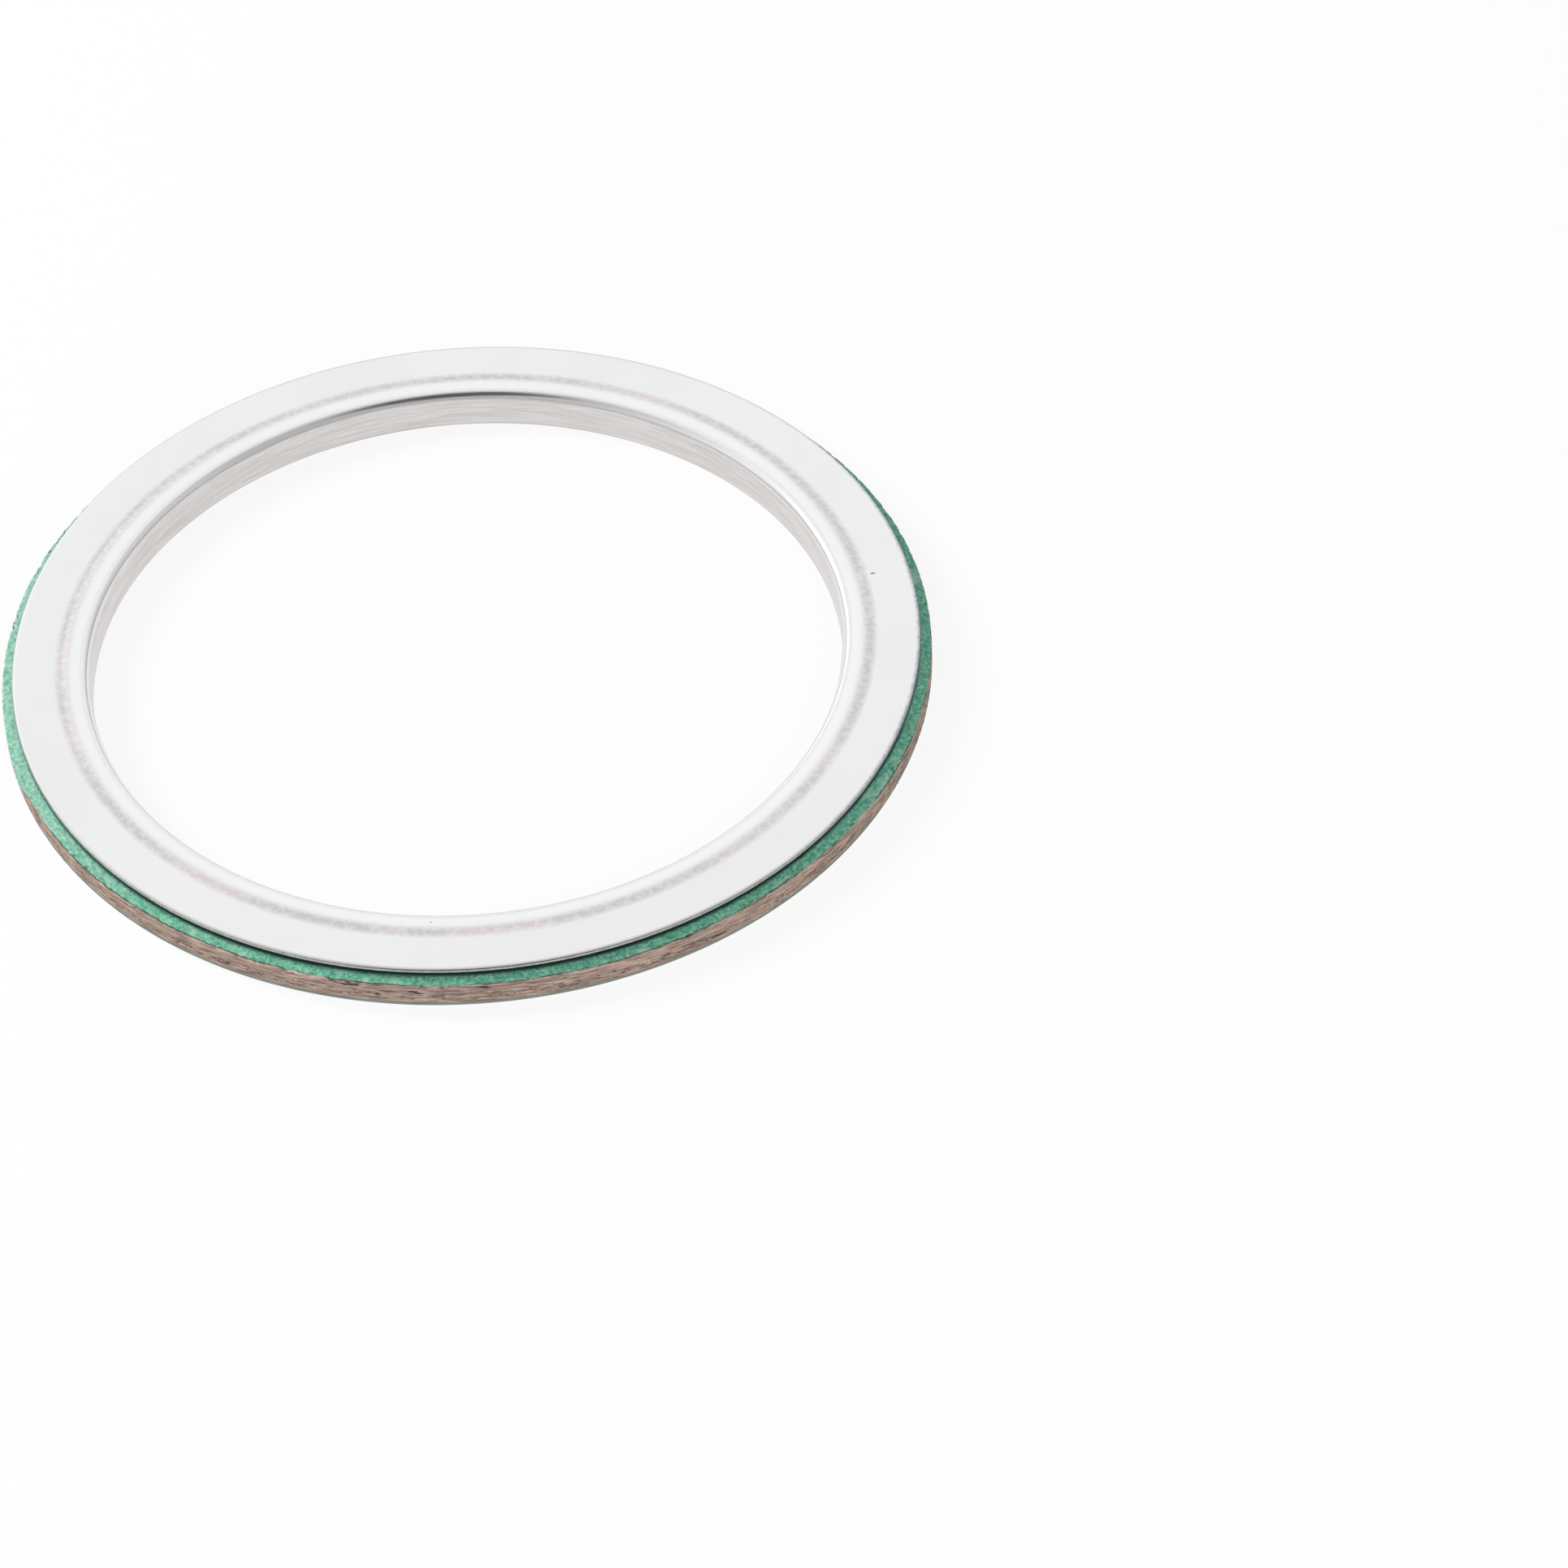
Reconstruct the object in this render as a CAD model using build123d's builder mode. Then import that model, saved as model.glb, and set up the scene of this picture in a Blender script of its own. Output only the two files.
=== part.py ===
"""Metal-jacketed ring gasket for a round pipe flange.

Three pieces, all turned about +Z, with the lapped face down on Z = 0:
  filler  die-cut ring of compressed fibre board, coated on both faces
  washer  flat sheet-metal ring that backs the fibre on the underside
  jacket  one sheet-metal pressing: a wide flange over the fibre, a raised
          band beside the bore, a rolled edge into the bore wall, and a lip
          folded back under the washer, which holds the three together
"""
import os

from build123d import *

os.makedirs("parts", exist_ok=True)

# Driving dimensions, in millimetres
bore_diameter = 80.0  # clear opening inside the jacket
flange_width = 8.3  # bore to the sheared edge of the jacket's flange
fibre_overhang = 1.2  # fibre board past that edge, out to the largest diameter
thickness = 4.5  # underside of the lip to the face of the flange
sheet = 0.4  # metal of the jacket
washer_sheet = 0.35  # metal of the washer

# Jacket, from its flange round to its lip
sheared_edge = 0.12  # rounding along the upper edge of the flange
step_width = 1.0  # short slope between the flange and the raised band
band_width = 2.3  # bore to the crown of the band, at the head of that slope
band_rise = 0.12  # crown of the band above the flange
band_fall = 0.06  # crown of the band down to the crease
crease_width = 0.9  # bore to the crease, where the rolled edge starts
roll_depth = 1.55  # height of the rolled edge
fold_radius = 0.6  # outside of the fold from the bore wall into the lip
lip_width = 2.6  # bore to the trimmed edge of the lip

# Fibre ring and washer
ledge_width = 2.9  # bevel pressed into the fibre under the flange's edge
ledge_drop = 1.0  # fall of that bevel from the flange to the cut edge
cut_corner = 0.15  # rounding where the bevel meets the cut edge
washer_setback = 0.15  # washer's edge inside the cut edge of the fibre
inner_clearance = 0.1  # fibre and washer to the jacket's wall and fold

# Radii and levels that the pieces share
bore_radius = bore_diameter / 2
flange_radius = bore_radius + flange_width
fibre_radius = flange_radius + fibre_overhang
crease_radius = bore_radius + crease_width
crown_radius = bore_radius + band_width
step_foot = crown_radius + step_width
step_middle = crown_radius + step_width / 2
crown_level = thickness + band_rise
crease_level = crown_level - band_fall
roll_bottom = crease_level - roll_depth
flange_under = thickness - sheet
washer_bottom = sheet
washer_top = washer_bottom + washer_sheet

def jacket_line(depth):
    """Draw the jacket's section at a depth below its outside; return its flange end and lip end."""
    flange = Line((flange_radius, thickness - depth), (step_foot, thickness - depth))
    rise = TangentArc(flange @ 1, (step_middle, thickness + band_rise / 2 - depth), tangent=flange % 1)
    crown = TangentArc(rise @ 1, (crown_radius, crown_level - depth), tangent=rise % 1)
    TangentArc(crown @ 1, (crease_radius, crease_level - depth), tangent=crown % 1)
    EllipticalCenterArc(
        (crease_radius, roll_bottom), crease_width - depth, roll_depth - depth, start_angle=90, arc_size=90
    )
    wall = Line((bore_radius + depth, roll_bottom), (bore_radius + depth, fold_radius))
    fold = TangentArc(wall @ 1, (bore_radius + fold_radius, depth), tangent=wall % 1)
    lip = Line(fold @ 1, (bore_radius + lip_width, depth))
    return flange @ 0, lip @ 1


# Jacket: its section lies between its outside and the same line one sheet
# deeper, from the sheared edge of the flange round to the trimmed lip
with BuildPart() as jacket:
    with BuildSketch(Plane.XZ) as jacket_section:
        with BuildLine():
            flange_face, lip_face = jacket_line(0)
            flange_back, lip_back = jacket_line(sheet)
            Line(flange_face, flange_back)
            Line(lip_face, lip_back)
        make_face()
        fillet(jacket_section.vertices().group_by(Axis.X)[-1].sort_by(Axis.Y)[-1], sheared_edge)
    revolve(axis=Axis.Z)
jacket.part.label = "jacket"
export_step(jacket.part, "parts/jacket.step")

# Washer: a flat ring that the jacket's lip laps over
washer_inner = bore_radius + fold_radius + inner_clearance
washer_outer = fibre_radius - washer_setback
with BuildPart() as washer:
    with BuildSketch(Plane.XY.offset(washer_bottom)):
        Circle(washer_outer)
        Circle(washer_inner, mode=Mode.SUBTRACT)
    extrude(amount=washer_sheet)
washer.part.label = "washer"
export_step(washer.part, "parts/washer.step")

# Fibre ring: it fills the jacket, follows the rolled edge on its inside and
# shows past the flange as a bevelled ledge above its cut edge
filler_inner = bore_radius + sheet + inner_clearance
inner_metal = sheet + inner_clearance
ledge_radius = fibre_radius - ledge_width
cut_top = flange_under - ledge_drop
with BuildPart() as filler:
    with BuildSketch(Plane.XZ) as filler_section:
        with BuildLine():
            shoulder = EllipticalCenterArc(
                (crease_radius, roll_bottom),
                crease_width - inner_metal,
                roll_depth - inner_metal,
                start_angle=90,
                arc_size=90,
            )
            Polyline(
                shoulder @ 0,
                (step_foot, flange_under),
                (ledge_radius, flange_under),
                (fibre_radius, cut_top),
                (fibre_radius, washer_top),
                (filler_inner, washer_top),
                shoulder @ 1,
            )
        make_face()
        fillet(filler_section.vertices().group_by(Axis.X)[-1].sort_by(Axis.Y)[-1], cut_corner)
    revolve(axis=Axis.Z)
filler.part.label = "filler"
export_step(filler.part, "parts/filler.step")
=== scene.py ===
"""Metal-jacketed ring gasket, lying on its lapped face on a white table."""
import math

import bpy
from mathutils import Matrix, Vector


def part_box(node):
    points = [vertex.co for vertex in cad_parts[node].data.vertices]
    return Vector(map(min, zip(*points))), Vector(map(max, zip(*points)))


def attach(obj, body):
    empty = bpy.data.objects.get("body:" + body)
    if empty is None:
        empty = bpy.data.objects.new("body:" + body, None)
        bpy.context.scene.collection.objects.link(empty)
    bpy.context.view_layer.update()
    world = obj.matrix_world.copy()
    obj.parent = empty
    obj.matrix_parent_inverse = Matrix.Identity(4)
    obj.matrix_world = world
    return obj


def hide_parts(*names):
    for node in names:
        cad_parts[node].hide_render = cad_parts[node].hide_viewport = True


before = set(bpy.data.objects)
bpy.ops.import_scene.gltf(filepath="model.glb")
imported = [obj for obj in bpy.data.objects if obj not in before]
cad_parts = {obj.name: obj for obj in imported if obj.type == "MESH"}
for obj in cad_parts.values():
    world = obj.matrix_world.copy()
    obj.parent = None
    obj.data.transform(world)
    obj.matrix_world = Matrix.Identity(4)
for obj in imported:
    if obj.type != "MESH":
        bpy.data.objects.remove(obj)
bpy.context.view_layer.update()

# Jacket. One pressing of thin bright steel sheet. A wide flat flange covers the
# fibre, a low band stands beside the bore, and the sheet then rolls over into
# the bore wall and folds back underneath as a narrow lip that grips the washer.
MM = 0.001
sheet = 0.4 * MM
thickness = 4.5 * MM
flange_radius = 48.3 * MM
flange_width = 8.3 * MM
rim_droop = 0.2 * MM
rim_droop_width = 0.5 * MM
step_width = 1.0 * MM
band_width = 2.3 * MM
band_fall = 0.06 * MM
band_relief = 0.1 * MM
crease_width = 0.9 * MM
roll_depth = 1.55 * MM
fold_radius = 0.6 * MM
lip_width = 2.6 * MM
bore_radius = flange_radius - flange_width
crown_radius = bore_radius + band_width
crease_radius = bore_radius + crease_width
crown_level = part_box("jacket")[1][2]
crease_level = crown_level - band_fall
roll_bottom = crease_level - roll_depth
ring_segments = 720
jacket_smoothness = 0.2
wave_depth = 0.012 * MM
tool_mark_depth = 0.018 * MM
jacket_face = ((0.87, 0.872, 0.877), (0.85, 0.85, 0.855))
# Bore wall colours: painted shade and a pinkish painted reflection of the table.
jacket_wall_painted_shade = ((0.76, 0.73, 0.72), (0.6, 0.575, 0.565))
rolled_streak = (0.72, 0.715, 0.72)
# Lighter band beside the bore: a painted highlight.
band_painted_highlight = (0.92, 0.92, 0.925)
# Soft line at the step: painted shade, grey with a pinkish painted reflection.
step_painted_shade_grey = (0.6, 0.595, 0.6)
step_painted_shade_pink = (0.7, 0.64, 0.645)
crease_painted_shade = (0.6, 0.59, 0.6)
wall_foot_painted_shade = (0.36, 0.34, 0.34)
dull_lip = ((0.74, 0.74, 0.75), (0.6, 0.6, 0.615))
droop_painted_shade = (0.66, 0.66, 0.67)
# Dark line along the rim: a painted reflection, purplish on the right.
rim_painted_reflection_left = (0.42, 0.42, 0.43)
rim_painted_reflection_right = (0.3, 0.27, 0.36)
ragged_burr = (0.47, 0.45, 0.52)
nick_grey = (0.2, 0.19, 0.19)


def bend(centre, across, up, start, end, steps):
    """Points round part of a circle or ellipse in the ring's section, from start to end in degrees."""
    points = []
    for step in range(steps + 1):
        angle = math.radians(start + (end - start) * step / steps)
        points.append((centre[0] + across * math.cos(angle), centre[1] + up * math.sin(angle)))
    return points


def straight(start, end, steps):
    """Points between two corners of the section, without the first one."""
    points = []
    for step in range(1, steps + 1):
        part = step / steps
        points.append((start[0] + (end[0] - start[0]) * part, start[1] + (end[1] - start[1]) * part))
    return points


def sheet_line(depth, fineness):
    """The jacket's section at a depth below its outside, from the step's foot to the lip."""
    step_foot = crown_radius + step_width
    line = []
    for step in range(fineness + 1):
        part = step / fineness
        lift = (crown_level - thickness) * part * part * (3 - 2 * part)
        line.append((step_foot - step_width * part, thickness + lift - depth))
    for step in range(1, fineness + 1):
        part = step / fineness
        fall = band_fall * part * part
        line.append((crown_radius + (crease_radius - crown_radius) * part, crown_level - fall - depth))
    roll_centre = (crease_radius, roll_bottom)
    line += bend(roll_centre, crease_width - depth, roll_depth - depth, 90, 180, 2 * fineness)[1:]
    line += straight(line[-1], (bore_radius + depth, fold_radius), fineness // 2)
    fold_centre = (bore_radius + fold_radius, fold_radius)
    line += bend(fold_centre, fold_radius - depth, fold_radius - depth, 180, 270, fineness)[1:]
    line += straight(line[-1], (bore_radius + lip_width, depth), 3)
    return line


def turn_ring(name, section, segments):
    """Turn a closed section of (radius, height) points into a ring, one loop of edges at a time."""
    radius, height = section[0]
    bpy.ops.object.select_all(action="DESELECT")
    bpy.ops.mesh.primitive_circle_add(vertices=segments, radius=radius, location=(0, 0, height))
    ring = bpy.context.object
    ring.name = name
    bpy.ops.object.transform_apply(location=True, rotation=True, scale=True)
    bpy.ops.object.mode_set(mode="EDIT")
    bpy.ops.mesh.select_all(action="SELECT")
    for next_radius, next_height in section[1:]:
        bpy.ops.mesh.extrude_edges_move(TRANSFORM_OT_translate={"value": (0, 0, next_height - height)})
        growth = next_radius / radius
        bpy.ops.transform.resize(value=(growth, growth, 1), center_override=(0, 0, 0))
        radius, height = next_radius, next_height
    bpy.ops.mesh.select_all(action="DESELECT")
    bpy.ops.mesh.select_non_manifold()
    bpy.ops.mesh.bridge_edge_loops()
    bpy.ops.mesh.select_all(action="SELECT")
    bpy.ops.mesh.normals_make_consistent(inside=False)
    bpy.ops.object.mode_set(mode="OBJECT")
    bpy.ops.object.shade_smooth_by_angle(angle=math.radians(35))
    return ring


rim_centre = (flange_radius - rim_droop_width, thickness - rim_droop)
jacket_section = bend(rim_centre, rim_droop_width, rim_droop, 0, 90, 8)
jacket_section += straight(jacket_section[-1], (crown_radius + step_width, thickness), 8)
jacket_section += sheet_line(0, 10)[1:]
jacket_inside = sheet_line(sheet, 4)
jacket_section += jacket_inside[::-1]
jacket_section += straight(jacket_inside[0], (flange_radius, thickness - sheet), 4)
jacket = turn_ring("jacket_sheet", jacket_section, ring_segments)
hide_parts("jacket")
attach(jacket, "root")


def new_finish(name):
    """A material with its shader and its pattern's coordinates, ready for more nodes."""
    finish = bpy.data.materials.new(name)
    finish.use_nodes = True
    tree = finish.node_tree
    shader = tree.nodes["Principled BSDF"]
    place = tree.nodes.new("ShaderNodeTexCoord").outputs["Object"]
    return finish, tree, shader, place


def speckle(tree, place, stretch, detail, roughness=0.5):
    """Noise that is stretched along the axes where stretch is small; stretch is in grains per metre."""
    mapping = tree.nodes.new("ShaderNodeMapping")
    mapping.inputs["Scale"].default_value = stretch
    tree.links.new(place, mapping.inputs["Vector"])
    noise = tree.nodes.new("ShaderNodeTexNoise")
    noise.inputs["Scale"].default_value = 1.0
    noise.inputs["Detail"].default_value = detail
    noise.inputs["Roughness"].default_value = roughness
    tree.links.new(mapping.outputs["Vector"], noise.inputs["Vector"])
    return noise.outputs["Fac"]


def spread(tree, value, low, high, to_low, to_high):
    """Map a value from one range to another, smoothly and without leaving the second range."""
    change = tree.nodes.new("ShaderNodeMapRange")
    change.interpolation_type = "SMOOTHSTEP"
    tree.links.new(value, change.inputs["Value"])
    for socket, number in zip(("From Min", "From Max", "To Min", "To Max"), (low, high, to_low, to_high)):
        change.inputs[socket].default_value = number
    return change.outputs["Result"]


def blend(tree, share, first, second):
    """Mix two colours, each a colour or the output of another node."""
    mix = tree.nodes.new("ShaderNodeMix")
    mix.data_type = "RGBA"
    tree.links.new(share, mix.inputs["Factor"])
    for socket, colour in (("A", first), ("B", second)):
        target = [entry for entry in mix.inputs if entry.name == socket and entry.type == "RGBA"][0]
        if isinstance(colour, tuple):
            target.default_value = (*colour, 1)
        else:
            tree.links.new(colour, target)
    return [entry for entry in mix.outputs if entry.type == "RGBA"][0]


def arithmetic(tree, operation, first, second=0):
    """Arithmetic on two values, each a number or the output of another node."""
    node = tree.nodes.new("ShaderNodeMath")
    node.operation = operation
    for socket, value in zip(node.inputs, (first, second)):
        if isinstance(value, (int, float)):
            socket.default_value = value
        else:
            tree.links.new(value, socket)
    return node.outputs["Value"]


def product(tree, first, *others):
    """Multiply values or shares together."""
    for other in others:
        first = arithmetic(tree, "MULTIPLY", first, other)
    return first


def zone(tree, value, start, full, fading, gone, strength=1):
    """A share that rises from start to full, and falls again from fading to gone."""
    rising = spread(tree, value, start, full, 0, 1)
    falling = spread(tree, value, fading, gone, strength, 0)
    return product(tree, rising, falling)


def relief(tree, height, depth, shader, under=None):
    """Raise or sink the surface by depth, in metres, following a height from 0 to 1."""
    bump = tree.nodes.new("ShaderNodeBump")
    bump.inputs["Distance"].default_value = depth
    tree.links.new(height, bump.inputs["Height"])
    if under is not None:
        tree.links.new(under, bump.inputs["Normal"])
    tree.links.new(bump.outputs["Normal"], shader.inputs["Normal"])
    return bump.outputs["Normal"]


def split_axes(tree, vector):
    """The X, Y and Z of a place or a direction."""
    parts = tree.nodes.new("ShaderNodeSeparateXYZ")
    tree.links.new(vector, parts.inputs["Vector"])
    return parts.outputs["X"], parts.outputs["Y"], parts.outputs["Z"]


def distance_from_axis(tree, place):
    """How far a point is from the ring's axis."""
    flat = tree.nodes.new("ShaderNodeVectorMath")
    flat.operation = "MULTIPLY"
    flat.inputs[1].default_value = (1, 1, 0)
    tree.links.new(place, flat.inputs[0])
    length = tree.nodes.new("ShaderNodeVectorMath")
    length.operation = "LENGTH"
    tree.links.new(flat.outputs["Vector"], length.inputs[0])
    return length.outputs["Value"]


def bright_sheet(name, face_colours, shaded_wall_colours, smoothness):
    """Cold-rolled bright sheet with its grain along X, and with turned lines on upright walls, which are
    coloured darker as painted shade.
    """
    finish, tree, shader, place = new_finish(name)
    shader.inputs["Metallic"].default_value = 1.0
    clouding = speckle(tree, place, (90, 60, 90), 3)
    grain = speckle(tree, place, (160, 3400, 160), 4, 0.65)
    grain_patches = speckle(tree, place, (70, 70, 70), 2)
    tool_lines = speckle(tree, place, (140, 140, 5200), 5, 0.75)
    facing = tree.nodes.new("ShaderNodeNewGeometry").outputs["Normal"]
    upright = spread(tree, arithmetic(tree, "ABSOLUTE", split_axes(tree, facing)[2]), 0.15, 0.6, 1, 0)
    face = blend(tree, spread(tree, clouding, 0.35, 0.65, 0, 1), *face_colours)
    streaked = spread(tree, grain_patches, 0.54, 0.64, 0, 1)
    streaks = product(tree, spread(tree, grain, 0.5, 0.75, 0, 0.07), streaked)
    face = blend(tree, streaks, face, rolled_streak)
    # Upright walls take darker colours, painted shade and painted reflection, crossed by turned lines.
    wall = blend(tree, spread(tree, tool_lines, 0.35, 0.65, 0, 1), *shaded_wall_colours)
    colour = blend(tree, upright, face, wall)
    tree.links.new(spread(tree, grain, 0.3, 0.7, smoothness, smoothness + 0.06), shader.inputs["Roughness"])
    waves = speckle(tree, place, (120, 120, 120), 1)
    ripple = relief(tree, waves, wave_depth, shader)
    ripple = relief(tree, product(tree, tool_lines, upright), tool_mark_depth, shader, ripple)
    return finish, tree, shader, place, colour, ripple


jacket_finish, tree, shader, place, colour, ripple = bright_sheet(
    "bright_jacket_sheet", jacket_face, jacket_wall_painted_shade, jacket_smoothness
)
radius = distance_from_axis(tree, place)
across, along, level = split_axes(tree, place)
# Mottling that breaks up the painted shade and painted reflection lines below, and the lip's dull finish.
mottle_noise = speckle(tree, place, (1500, 1500, 1500), 4, 0.7)
mottling = spread(tree, mottle_noise, 0.36, 0.6, 0.55, 1)

# Painted highlight: the band between the crease and the crown is lighter than the flange.
band = zone(
    tree, radius, crease_radius - 0.3 * MM, crease_radius + 0.1 * MM,
    crown_radius - 0.6 * MM, crown_radius + 0.2 * MM, 0.8
)
colour = blend(tree, band, colour, band_painted_highlight)
band_slope = spread(tree, radius, crease_radius - 0.2 * MM, crown_radius + 0.1 * MM, 0, 1)
relief(tree, band_slope, band_relief, shader, ripple)

# Painted shade: a soft mottled grey line at the step, pinkish in places as a painted reflection.
step_line = zone(
    tree, radius, crown_radius - 0.3 * MM, crown_radius + 0.6 * MM,
    crown_radius + 0.8 * MM, crown_radius + 1.7 * MM
)
pinkish = spread(tree, speckle(tree, place, (90, 90, 90), 2), 0.45, 0.62, 0, 1)
colour = blend(tree, product(tree, step_line, mottling), colour, blend(tree, pinkish, step_painted_shade_grey, step_painted_shade_pink))
# Painted shade: a faint grey line along the crease.
crease_line = zone(
    tree, radius, crease_radius - 0.3 * MM, crease_radius,
    crease_radius + 0.05 * MM, crease_radius + 0.35 * MM, 0.25
)
colour = blend(tree, product(tree, crease_line, mottling), colour, crease_painted_shade)

# Painted shade: the bore wall is dark near its foot, where it meets the table.
on_the_wall = spread(tree, radius, bore_radius + 0.1 * MM, bore_radius + 0.3 * MM, 1, 0)
foot = product(tree, spread(tree, level, 0.2 * MM, 0.6 * MM, 0.8, 0), on_the_wall)
colour = blend(tree, foot, colour, wall_foot_painted_shade)
on_the_lip = spread(tree, radius, bore_radius + 0.3 * MM, bore_radius + 0.6 * MM, 0, 1)
underneath = product(tree, spread(tree, level, 0.02 * MM, 0.1 * MM, 1, 0), on_the_lip)
colour = blend(tree, underneath, colour, blend(tree, mottling, *dull_lip))

right_side = spread(tree, across, 30 * MM, 45 * MM, 0, 1)
# Painted shade: the drooped edge of the flange is darker.
droop_line = spread(tree, radius, flange_radius - 0.5 * MM, flange_radius - 0.1 * MM, 0, 0.8)
colour = blend(tree, droop_line, colour, droop_painted_shade)
# Painted reflection: a dark line along the rim's edge, grey on the left and purplish on the right.
rim_line = spread(tree, radius, flange_radius - 0.16 * MM, flange_radius - 0.02 * MM, 0, 1)
rim_painted_reflection = blend(tree, right_side, rim_painted_reflection_left, rim_painted_reflection_right)
colour = blend(tree, product(tree, rim_line, mottling), colour, rim_painted_reflection)
beside_rim = spread(tree, radius, flange_radius - 0.45 * MM, flange_radius - 0.12 * MM, 0, 0.8)
ragged = product(tree, beside_rim, spread(tree, mottle_noise, 0.44, 0.56, 0, 1), right_side)
colour = blend(tree, ragged, colour, ragged_burr)
nicks = spread(tree, speckle(tree, place, (700, 1100, 700), 1), 0.79, 0.83, 0, 0.8)
colour = blend(tree, nicks, colour, nick_grey)
tree.links.new(colour, shader.inputs["Base Color"])
jacket.data.materials.append(jacket_finish)

# Washer. A flat ring blanked from bright sheet. It backs the fibre on the
# underside, and the jacket's lip is pressed down over its inner edge.
washer_low, washer_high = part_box("washer")
inner_clearance = 0.1 * MM
washer_outer = 49.35 * MM
washer_inner = bore_radius + fold_radius + inner_clearance
washer_bottom = washer_low[2]
washer_top = washer_high[2]
blanked_edge = 0.08 * MM
washer_smoothness = 0.1
washer_face = ((0.86, 0.86, 0.865), (0.82, 0.82, 0.83))
# The washer's outer edge is coloured dark grey-green as painted shade.
washer_edge_painted_shade = ((0.3, 0.33, 0.31), (0.22, 0.25, 0.235))

edge_centre = washer_outer - blanked_edge
washer_section = bend((edge_centre, washer_top - blanked_edge), blanked_edge, blanked_edge, 0, 90, 4)
washer_section += straight(washer_section[-1], (washer_inner, washer_top), 4)
washer_section += [(washer_inner, washer_bottom)]
lower_edge = bend((edge_centre, washer_bottom + blanked_edge), blanked_edge, blanked_edge, -90, 0, 4)
washer_section += straight(washer_section[-1], lower_edge[0], 6) + lower_edge[1:]
washer = turn_ring("washer_blank", washer_section, ring_segments)
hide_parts("washer")
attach(washer, "root")

washer_finish, tree, shader, place, colour, ripple = bright_sheet(
    "bright_washer_sheet", washer_face, washer_edge_painted_shade, washer_smoothness
)
tree.links.new(colour, shader.inputs["Base Color"])
washer.data.materials.append(washer_finish)

# Fibre ring. Die-cut from compressed fibre board with a thin green coating on
# both faces. The jacket's flange has pressed a bevel into it, and the bare cut
# edge below is brown, layered and split along its layers.
fibre_low, fibre_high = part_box("filler")
fibre_radius = 49.5 * MM
fibre_inner = bore_radius + sheet + inner_clearance
fibre_top = fibre_high[2]
fibre_bottom = fibre_low[2]
ledge_width = 2.9 * MM
ledge_drop = 1.0 * MM
cut_top = fibre_top - ledge_drop
cut_corner = 0.15 * MM
corner_inset = 0.12 * MM
fibre_segments = 1440
coat_margin = 0.62 * MM
coat_end = cut_top + coat_margin
side_overrun = 0.6 * MM
left_overrun = 2.2 * MM
back_overrun = 0.6 * MM
fray_depth = 0.3 * MM
chip_depth = 0.7 * MM
layer_relief = 0.18 * MM
split_relief = 0.5 * MM
tuft_relief = 0.12 * MM
coat_colours = ((0.07, 0.33, 0.215), (0.28, 0.62, 0.45))
coat_patches = (0.42, 0.7, 0.56)
# Paler greens for the left side: painted light.
left_painted_light_colours = ((0.24, 0.55, 0.4), (0.52, 0.76, 0.65))
# Near-black green under the flange's rim: painted shadow.
painted_shadow_green = (0.006, 0.035, 0.022)
coat_specks = (0.015, 0.07, 0.05)
# Dark broken line along the coating's edge: painted shade.
coat_edge_painted_shade = (0.02, 0.045, 0.032)
layer_colours = ((0.2, 0.13, 0.1), (0.68, 0.51, 0.43))
layer_patches = (0.48, 0.35, 0.28)
split_brown = (0.03, 0.022, 0.018)
crack_brown = (0.035, 0.024, 0.02)
foot_green = (0.2, 0.27, 0.22)

fibre_section = straight((fibre_inner, fibre_bottom), (fibre_radius, fibre_bottom), 3)
fibre_section += straight(fibre_section[-1], (fibre_radius, cut_top - cut_corner), 26)
fibre_section += straight(fibre_section[-1], (fibre_radius - corner_inset, cut_top), 3)
fibre_section += straight(fibre_section[-1], (fibre_radius - ledge_width, fibre_top), 22)
fibre_section += straight(fibre_section[-1], (crease_radius, fibre_top), 2)
fibre_section += straight(fibre_section[-1], (fibre_inner, roll_bottom), 3)
fibre_section += [(fibre_inner, fibre_bottom)]
fibre = turn_ring("fibre_ring", fibre_section, fibre_segments)

torn_reach = 0.7 * MM
torn_on_the_right = 0.4
worn_from = 18 * MM
worn_over = 14 * MM
worn_depth = 0.14 * MM
worn_gain = 1.6
torn_part = fibre.vertex_groups.new(name="torn")
fuzzy_part = fibre.vertex_groups.new(name="fuzzy")
worn_part = fibre.vertex_groups.new(name="worn")
for point in fibre.data.vertices:
    if math.hypot(*point.co[:2]) > flange_radius:
        nearness = 1 - abs(point.co.z - cut_top) / torn_reach
        side = 1.0 if point.co.x < 0 else torn_on_the_right
        far_back = min(1.0, max(0.0, (point.co.y - worn_from) / worn_over))
        torn_part.add([point.index], max(0.0, nearness) * side, "REPLACE")
        worn_part.add([point.index], min(1.0, max(0.0, worn_gain * nearness)) * far_back, "REPLACE")
        fuzzy_part.add([point.index], 1.0, "REPLACE")
tears = (("torn", 1.0 * MM, 0.3 * MM, 5, 0.4), ("fuzzy", 0.35 * MM, 0.06 * MM, 1.5, 0.9))
for name, grain_size, depth, sharpness, share in tears:
    pattern = bpy.data.textures.new(name, "CLOUDS")
    pattern.noise_scale = grain_size
    pattern.noise_depth = 3
    pattern.contrast = sharpness
    pattern.intensity = share
    pattern.use_clamp = True
    tearing = fibre.modifiers.new(name, "DISPLACE")
    tearing.texture = pattern
    tearing.texture_coords = "LOCAL"
    tearing.vertex_group = name
    tearing.mid_level = 0
    tearing.strength = -depth
    bpy.ops.object.modifier_apply(modifier=name)
wear = fibre.modifiers.new("worn", "DISPLACE")
wear.vertex_group = "worn"
wear.mid_level = 0
wear.strength = -worn_depth
bpy.ops.object.modifier_apply(modifier="worn")
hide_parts("filler")
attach(fibre, "root")

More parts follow.
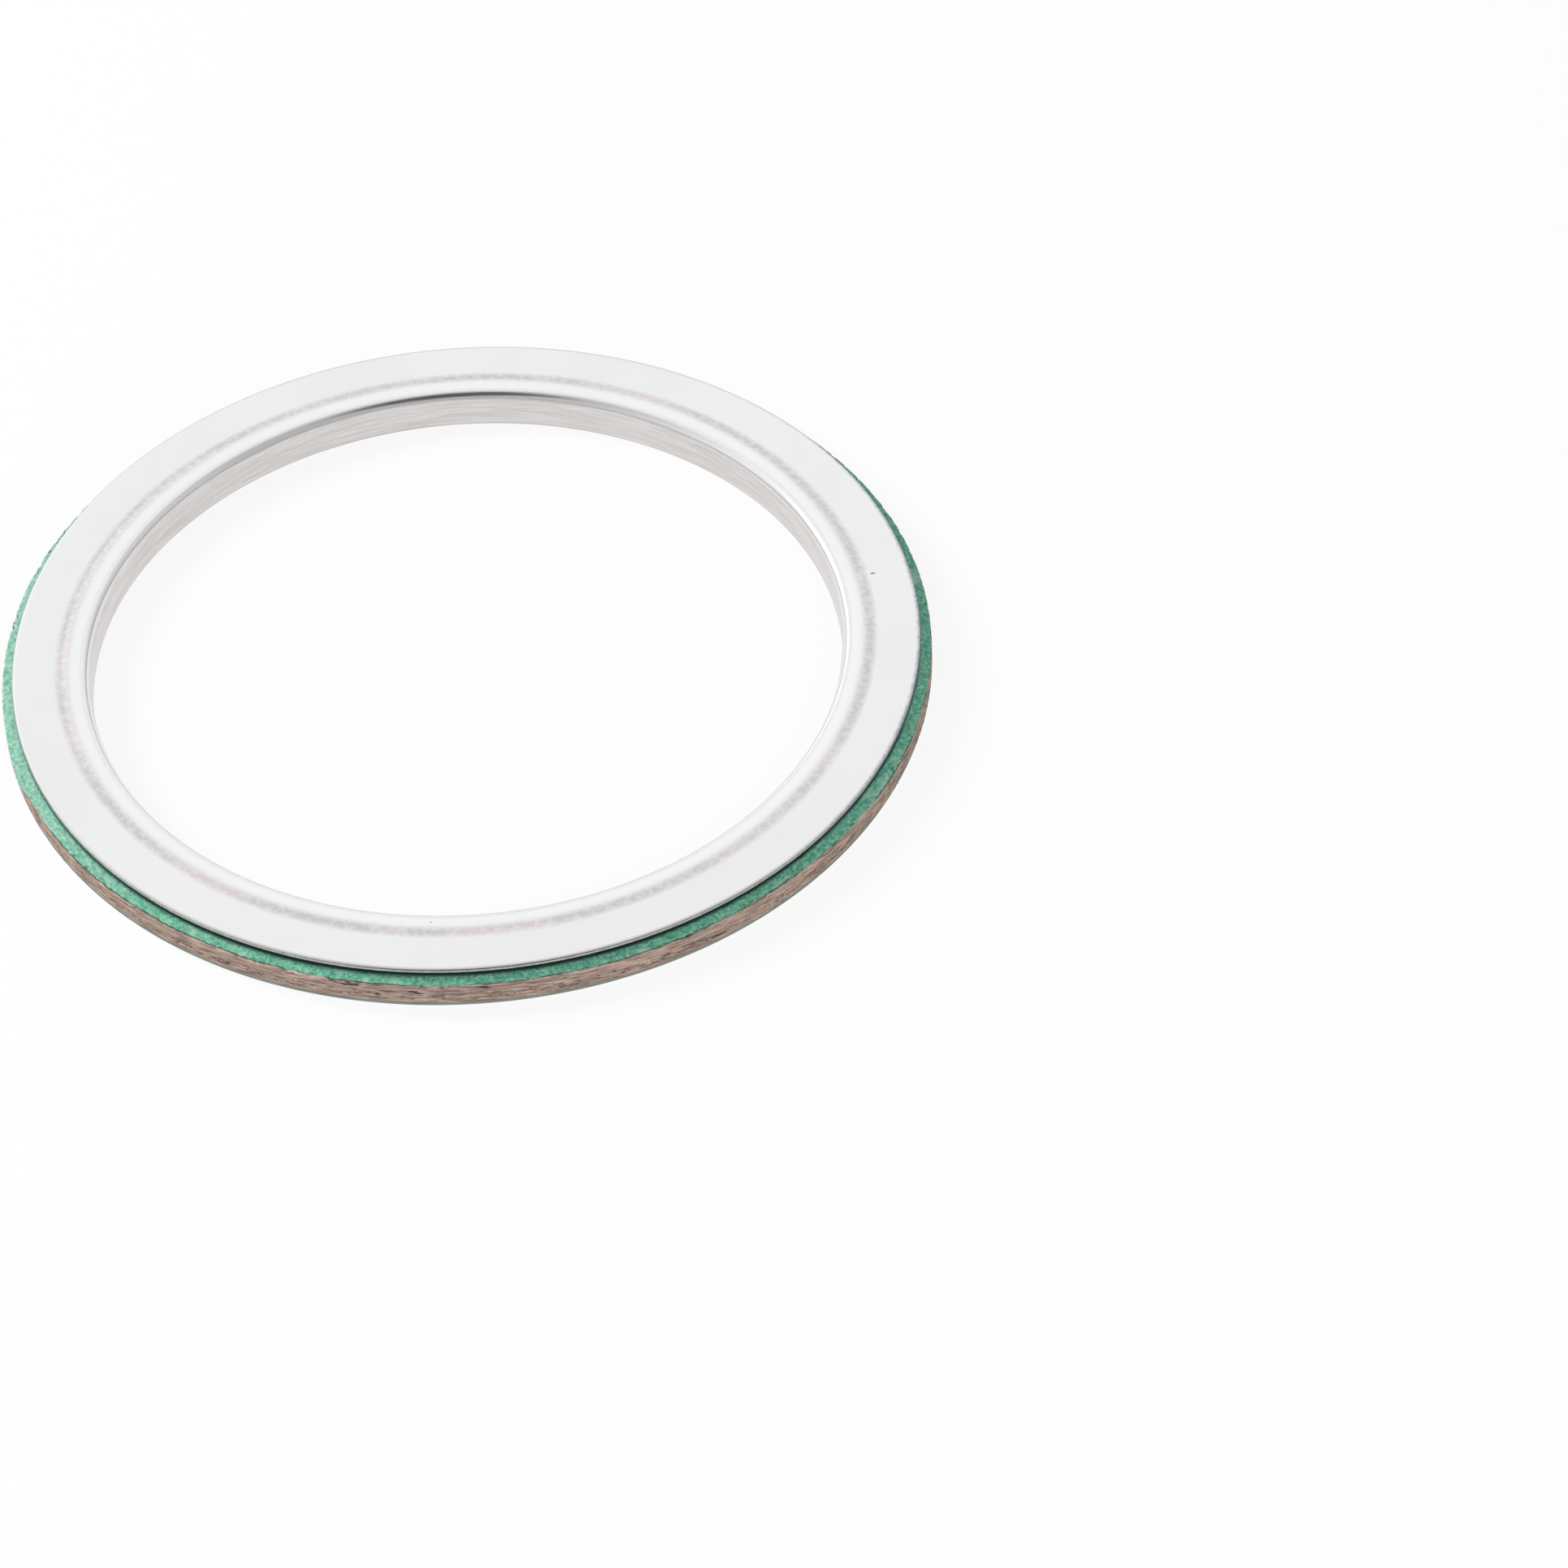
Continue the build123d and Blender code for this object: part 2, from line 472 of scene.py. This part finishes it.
fibre_finish, tree, shader, place = new_finish("green_coated_fibre")
shader.inputs["Roughness"].default_value = 0.85
across, along, level = split_axes(tree, place)
radius = distance_from_axis(tree, place)
tufts = speckle(tree, place, (2600, 2600, 3200), 5, 0.65)
patches = speckle(tree, place, (260, 260, 500), 4, 0.6)
layers = speckle(tree, place, (420, 420, 5200), 5, 0.6)
splits = speckle(tree, place, (160, 160, 1500), 3, 0.5)
chips = speckle(tree, place, (1100, 1100, 1100), 3)
specks = speckle(tree, place, (1500, 1500, 1500), 2)
streaks = speckle(tree, place, (330, 330, 2400), 4, 0.6)

fray = product(tree, arithmetic(tree, "SUBTRACT", tufts, 0.5), fray_depth)
frayed_level = arithmetic(tree, "ADD", level, fray)
chipped = product(tree, arithmetic(tree, "SUBTRACT", chips, 0.5), chip_depth)
inward = product(tree, arithmetic(tree, "SUBTRACT", fibre_radius, radius), 2)
beside = spread(tree, arithmetic(tree, "ABSOLUTE", across), 28 * MM, 46 * MM, 0, side_overrun)
wrapped = spread(tree, across, -47.8 * MM, -45.5 * MM, left_overrun, 0)
behind = spread(tree, along, 5 * MM, 25 * MM, 0, back_overrun)
coat_reach = arithmetic(tree, "MAXIMUM", arithmetic(tree, "ADD", beside, wrapped), behind)
coated_level = arithmetic(tree, "ADD", frayed_level, chipped)
coated_level = arithmetic(tree, "ADD", coated_level, inward)
coated_level = arithmetic(tree, "ADD", coated_level, coat_reach)
coated = spread(tree, coated_level, coat_end - 0.05 * MM, coat_end + 0.1 * MM, 0, 1)

coating = blend(tree, spread(tree, tufts, 0.35, 0.68, 0, 1), *coat_colours)
coating = blend(tree, spread(tree, patches, 0.55, 0.72, 0, 0.7), coating, coat_patches)
# Painted light: the coating is paler towards the left, where the lamp falls.
left_painted_light = blend(tree, spread(tree, tufts, 0.35, 0.65, 0, 1), *left_painted_light_colours)
coating = blend(tree, spread(tree, across, -48 * MM, -28 * MM, 0.7, 0), coating, left_painted_light)
# Painted shadow: the bevel is near black just under the flange's rim.
under_flange_shadow = spread(tree, radius, flange_radius - 0.25 * MM, flange_radius + 0.2 * MM, 1, 0)
coating = blend(tree, under_flange_shadow, coating, painted_shadow_green)

bare = blend(tree, spread(tree, layers, 0.3, 0.7, 0, 1), *layer_colours)
bare = blend(tree, spread(tree, patches, 0.45, 0.7, 0, 0.6), bare, layer_patches)
bare = blend(tree, spread(tree, splits, 0.3, 0.36, 1, 0), bare, split_brown)
off_middle = arithmetic(tree, "ABSOLUTE", arithmetic(tree, "SUBTRACT", streaks, 0.5))
crack_low = spread(tree, level, 1.1 * MM, 1.5 * MM, 0, 1)
crack_high = spread(tree, level, 1.9 * MM, 2.5 * MM, 1, 0.15)
cracks = product(tree, spread(tree, off_middle, 0.006, 0.028, 1, 0), crack_low, crack_high)
bare = blend(tree, cracks, bare, crack_brown)
foot = spread(tree, frayed_level, fibre_bottom + 0.1 * MM, fibre_bottom + 0.4 * MM, 0.85, 0)
bare = blend(tree, foot, bare, foot_green)

board = blend(tree, coated, bare, coating)
# Painted shade: a dark broken line along the edge of the green coating.
off_border = arithmetic(tree, "ABSOLUTE", arithmetic(tree, "SUBTRACT", coated_level, coat_end))
broken = spread(tree, patches, 0.4, 0.55, 0, 1)
coat_edge_shade = product(tree, spread(tree, off_border, 0.06 * MM, 0.2 * MM, 0.9, 0), broken)
board = blend(tree, coat_edge_shade, board, coat_edge_painted_shade)
outermost = spread(tree, radius, fibre_radius - 0.5 * MM, fibre_radius - 0.2 * MM, 0, 1)
dark_specks = product(tree, spread(tree, specks, 0.63, 0.68, 0, 0.9), outermost, coated)
board = blend(tree, dark_specks, board, coat_specks)
tree.links.new(board, shader.inputs["Base Color"])
rough_layers = relief(tree, layers, layer_relief, shader)
rough_splits = relief(tree, splits, split_relief, shader, rough_layers)
relief(tree, tufts, tuft_relief, shader, rough_splits)
fibre.data.materials.append(fibre_finish)

# Table. A white matt sheet of paper, plain and level, with the gasket on it.
# It glows a little to the eye and in the metal, so it reads as a white ground.
paper_colours = ((0.88, 0.88, 0.88), (0.92, 0.92, 0.92))
glow_share = 0.87
bpy.ops.mesh.primitive_plane_add(size=6)
table = bpy.context.object
table.name = "white_table"
paper, tree, shader, place = new_finish("white_paper")
paper_grain = speckle(tree, place, (400, 400, 400), 3)
tree.links.new(blend(tree, paper_grain, *paper_colours), shader.inputs["Base Color"])
shader.inputs["Roughness"].default_value = 0.9
glow = tree.nodes.new("ShaderNodeEmission")
glow.inputs["Color"].default_value = (1, 1, 1, 1)
glow.inputs["Strength"].default_value = 1.0


def seen_by(tree):
    """Shares of 0 or 1 for the rays of the camera, and for those that metal or glass sends on."""
    paths = tree.nodes.new("ShaderNodeLightPath").outputs
    mirrored = arithmetic(tree, "MAXIMUM", paths["Is Glossy Ray"], paths["Is Transmission Ray"])
    return paths["Is Camera Ray"], mirrored


seen = arithmetic(tree, "MAXIMUM", *seen_by(tree))
ground = tree.nodes.new("ShaderNodeMixShader")
tree.links.new(product(tree, seen, glow_share), ground.inputs["Fac"])
tree.links.new(shader.outputs["BSDF"], ground.inputs[1])
tree.links.new(glow.outputs["Emission"], ground.inputs[2])
tree.links.new(ground.outputs["Shader"], tree.nodes["Material Output"].inputs["Surface"])
table.data.materials.append(paper)

# Light. A white room that is dimmer low down, to the right and in front, with a
# dark card high in front and a window at the left. The metal shows only that
# room: one soft lamp at the back left and a weak one in front light the rest.
room_light = 0.38
world = bpy.data.worlds.new("white_room")
bpy.context.scene.world = world
world.use_nodes = True
room = world.node_tree
background = room.nodes["Background"]
background.inputs["Color"].default_value = (1, 1, 1, 1)
bearing = room.nodes.new("ShaderNodeTexCoord").outputs["Generated"]


def nearness_to(direction):
    """The cosine between a bearing in the room and a direction."""
    cosine = room.nodes.new("ShaderNodeVectorMath")
    cosine.operation = "DOT_PRODUCT"
    room.links.new(bearing, cosine.inputs[0])
    cosine.inputs[1].default_value = Vector(direction).normalized()
    return cosine.outputs["Value"]


low_down = spread(room, arithmetic(room, "ABSOLUTE", nearness_to((0, 0, 1))), 0, 0.16, 0.25, 1)
to_the_right = spread(room, nearness_to((1, 0, 0)), 0.25, 0.85, 1, 0.7)
in_front = spread(room, nearness_to((0, -1, 1)), 0.25, 0.9, 1, 0.6)
dark_card = spread(room, nearness_to((0, -1, 1)), 0.86, 0.95, 1, 0.15)
left_window = spread(room, nearness_to((-1, 1, 0.4)), 0.8, 0.96, 1, 1.35)
shade = product(room, low_down, to_the_right, left_window, in_front, dark_card)
camera_rays, mirrored_rays = seen_by(room)
either = arithmetic(room, "MAXIMUM", mirrored_rays, camera_rays)
other_rays = arithmetic(room, "SUBTRACT", 1, either)
strength = arithmetic(room, "ADD", product(room, mirrored_rays, shade), camera_rays)
strength = arithmetic(room, "ADD", strength, product(room, other_rays, room_light))
room.links.new(strength, background.inputs["Strength"])


def soft_lamp(name, place, aim, size, watts):
    """A square soft box at a place, turned to an aim."""
    lamp = bpy.data.lights.new(name, "AREA")
    lamp.size = size
    lamp.energy = watts
    holder = bpy.data.objects.new(name, lamp)
    holder.location = place
    holder.rotation_euler = (Vector(aim) - Vector(place)).to_track_quat("-Z", "Y").to_euler()
    holder.visible_glossy = False
    bpy.context.collection.objects.link(holder)


soft_lamp("back_left_soft_box", (-0.8, 0.35, 0.65), (0, 0, 0), 0.5, 10)
soft_lamp("front_soft_box", (0.35, -0.8, 0.45), (0, 0, 0), 0.9, 5)

# Camera. Looking down on the ring from the front, half way between level and
# overhead, with a slight turn about its own line of sight.
camera_data = bpy.data.cameras.new("camera")
camera_data.lens = 156.5
camera = bpy.data.objects.new("camera", camera_data)
stand = Vector((0.0334, -0.5297, 0.499))
target = Vector((0.033, -0.0193, 0))
turn = math.radians(-3)
line_of_sight = (target - stand).to_track_quat("-Z", "Y").to_matrix().to_4x4()
camera.matrix_world = Matrix.Translation(stand) @ line_of_sight @ Matrix.Rotation(turn, 4, "Z")
bpy.context.collection.objects.link(camera)
bpy.context.scene.camera = camera
bpy.context.scene.view_settings.view_transform = "Standard"
